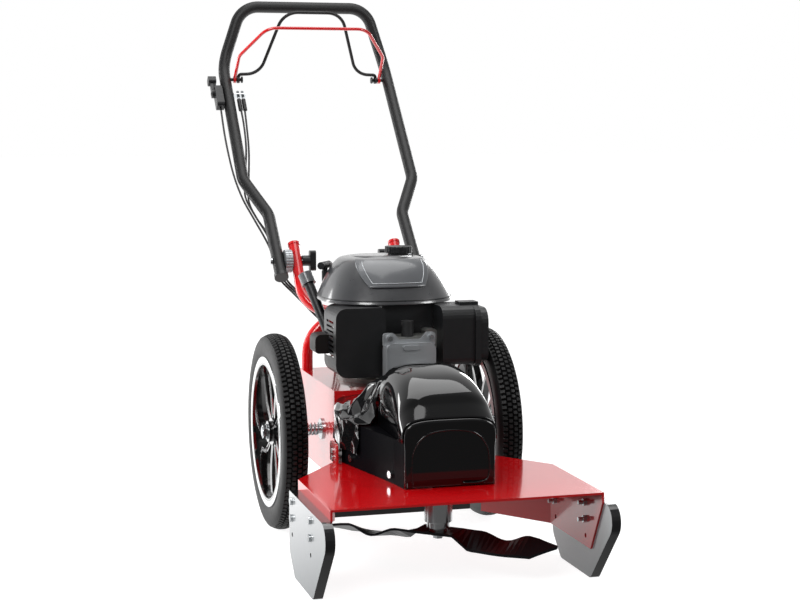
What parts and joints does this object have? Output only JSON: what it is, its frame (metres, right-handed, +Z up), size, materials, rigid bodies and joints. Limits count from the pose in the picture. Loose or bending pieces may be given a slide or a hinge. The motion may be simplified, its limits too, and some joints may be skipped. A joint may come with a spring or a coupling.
{
  "type": "wheeled brush cutter",
  "caption": "Walk-behind brush cutter on two large wheels: engine over the axle, belt-driven blade under a skidded front deck, tilting handlebar with control bails",
  "frame": {"origin": "on the ground under the middle of the bounding box", "axes": "+X the machine's left, +Y backwards to the handle, +Z up"},
  "size_m": [0.5616, 1.3922, 1.1422],
  "materials": {
    "red_paint": "gloss powder coat",
    "black_paint": "gloss powder coat",
    "black_hood": "gloss moulded plastic",
    "black_plastic": "moulded plastic",
    "grey_plastic": "moulded plastic",
    "cast_alloy": "cast",
    "steel": "zinc plated",
    "blade_steel": "blackened spring steel",
    "tyre_rubber": "moulded rubber",
    "soft_black": "rubber and vinyl"
  },
  "bodies": {
    "chassis": {"chassis_box": "red_paint", "deck_plate": "red_paint", "rear_flap": "soft_black", "skid_left": "black_paint", "skid_right": "black_paint", "frame_bolts": "steel", "spindle_housing": "steel", "bearings": "steel", "belt_tunnel": "black_paint", "belt_apron": "soft_black", "front_hood": "black_hood", "gearbox_housing": "cast_alloy", "rear_arch": "red_paint", "handle_fork": "red_paint", "fixed_ratchets": "cast_alloy", "crankcase": "cast_alloy", "cylinder_block": "cast_alloy", "valve_cover": "cast_alloy", "muffler": "steel", "muffler_guard": "black_plastic", "carburettor": "cast_alloy", "air_cleaner_case": "black_plastic", "air_cleaner_cover": "black_plastic", "fan_cover": "black_plastic", "cover_panel": "grey_plastic", "oil_tube": "black_plastic", "spark_plug_cap": "soft_black", "cutter_belt": "soft_black", "drive_belt": "soft_black", "lower_cables": "soft_black"},
    "crank": {"crankshaft": "steel", "flywheel": "cast_alloy", "engine_pulley": "steel"},
    "cutter": {"spindle_shaft": "steel", "spindle_pulley": "steel", "cutter_blade": "blade_steel", "blade_bolt": "steel"},
    "axle": {"axle_shaft": "steel", "dog_springs": "steel", "dog_clutches": "steel"},
    "input": {"drive_input": "steel"},
    "wheel_left": {"rim_left": "black_paint", "tyre_left": "tyre_rubber"},
    "wheel_right": {"rim_right": "black_paint", "tyre_right": "tyre_rubber"},
    "handle": {"handlebar": "black_paint", "handlebar_caps": "black_plastic", "moving_ratchets": "cast_alloy", "pivot_bolts": "steel", "upper_cables": "soft_black", "throttle_housing": "black_plastic"},
    "stop_bail": {"stop_bail": "black_paint"},
    "drive_bail": {"drive_bail": "red_paint"},
    "throttle_lever": {"throttle_lever": "black_plastic"},
    "clamp_knob_left": {"clamp_knob_left": "black_plastic"},
    "clamp_knob_right": {"clamp_knob_right": "black_plastic"},
    "fuel_cap": {"fuel_cap": "black_plastic"},
    "oil_cap": {"oil_cap": "grey_plastic"},
    "starter_grip": {"starter_grip": "black_plastic"},
    "idler_arm": {"idler_arm": "steel"}
  },
  "joints": [
    {"name": "wheel_left_spin", "type": "hinge", "parent": "chassis", "child": "wheel_left", "pos_m": [0.227, -0.04809, 0.205], "axis": [1, 0, 0], "continuous": true},
    {"name": "wheel_right_spin", "type": "hinge", "parent": "chassis", "child": "wheel_right", "pos_m": [-0.227, -0.04809, 0.205], "axis": [1, 0, 0], "continuous": true},
    {"name": "cutter_spin", "type": "hinge", "parent": "chassis", "child": "cutter", "pos_m": [0, -0.46209, 0.076], "axis": [0, 0, 1], "continuous": true},
    {"name": "crank_spin", "type": "hinge", "parent": "chassis", "child": "crank", "pos_m": [0.02, -0.00109, 0.303], "axis": [0, 0, 1], "continuous": true},
    {"name": "drive_input_spin", "type": "hinge", "parent": "chassis", "child": "input", "pos_m": [0, -0.08409, 0.277], "axis": [0, 0, 1], "continuous": true},
    {"name": "axle_spin", "type": "hinge", "parent": "chassis", "child": "axle", "pos_m": [0, -0.04809, 0.205], "axis": [1, 0, 0], "continuous": true},
    {"name": "handle_tilt", "type": "hinge", "parent": "chassis", "child": "handle", "pos_m": [0, 0.24808, 0.53555], "axis": [1, 0, 0], "range_deg": [-20, 25]},
    {"name": "stop_bail_squeeze", "type": "hinge", "parent": "handle", "child": "stop_bail", "pos_m": [0, 0.64911, 0.9493], "axis": [-1, 0, 0], "range_deg": [0, 24], "stiffness_Nm_per_rad": 0.8, "springref_deg": -20.05},
    {"name": "drive_bail_squeeze", "type": "hinge", "parent": "handle", "child": "drive_bail", "pos_m": [0, 0.64911, 0.9493], "axis": [-1, 0, 0], "range_deg": [0, 17], "stiffness_Nm_per_rad": 0.8, "springref_deg": -28.65},
    {"name": "throttle_turn", "type": "hinge", "parent": "handle", "child": "throttle_lever", "pos_m": [-0.24194, 0.61613, 0.91443], "axis": [1, 0, 0], "range_deg": [-25, 25]},
    {"name": "clamp_knob_left_turn", "type": "hinge", "parent": "handle", "child": "clamp_knob_left", "pos_m": [0.09, 0.24808, 0.53555], "axis": [1, 0, 0], "range_deg": [-170, 170]},
    {"name": "clamp_knob_right_turn", "type": "hinge", "parent": "handle", "child": "clamp_knob_right", "pos_m": [-0.09, 0.24808, 0.53555], "axis": [1, 0, 0], "range_deg": [-170, 170]},
    {"name": "fuel_cap_turn", "type": "hinge", "parent": "chassis", "child": "fuel_cap", "pos_m": [0.072, 0.07191, 0.565], "axis": [0, 0, 1], "range_deg": [0, 90]},
    {"name": "oil_cap_turn", "type": "hinge", "parent": "chassis", "child": "oil_cap", "pos_m": [-0.12, 0.11091, 0.496], "axis": [-0.2366, 0.502, 0.8319], "range_deg": [0, 180]},
    {"name": "starter_pull", "type": "slide", "parent": "chassis", "child": "starter_grip", "axis": [0, 0.94, 0.3412], "range_m": [0, 0.15], "stiffness_N_per_m": 20, "springref_m": -0.1},
    {"name": "idler_swing", "type": "hinge", "parent": "chassis", "child": "idler_arm", "pos_m": [-0.0795, 0.02729, 0.277], "axis": [0, 0, 1], "range_deg": [0, 11.9]}
  ],
  "couplings": [
    {"joint": "crank_spin", "follows": "cutter_spin", "ratio": 1.122},
    {"joint": "axle_spin", "follows": "drive_input_spin", "ratio": 0.05},
    {"joint": "idler_swing", "follows": "drive_bail_squeeze", "ratio": 0.7}
  ]
}
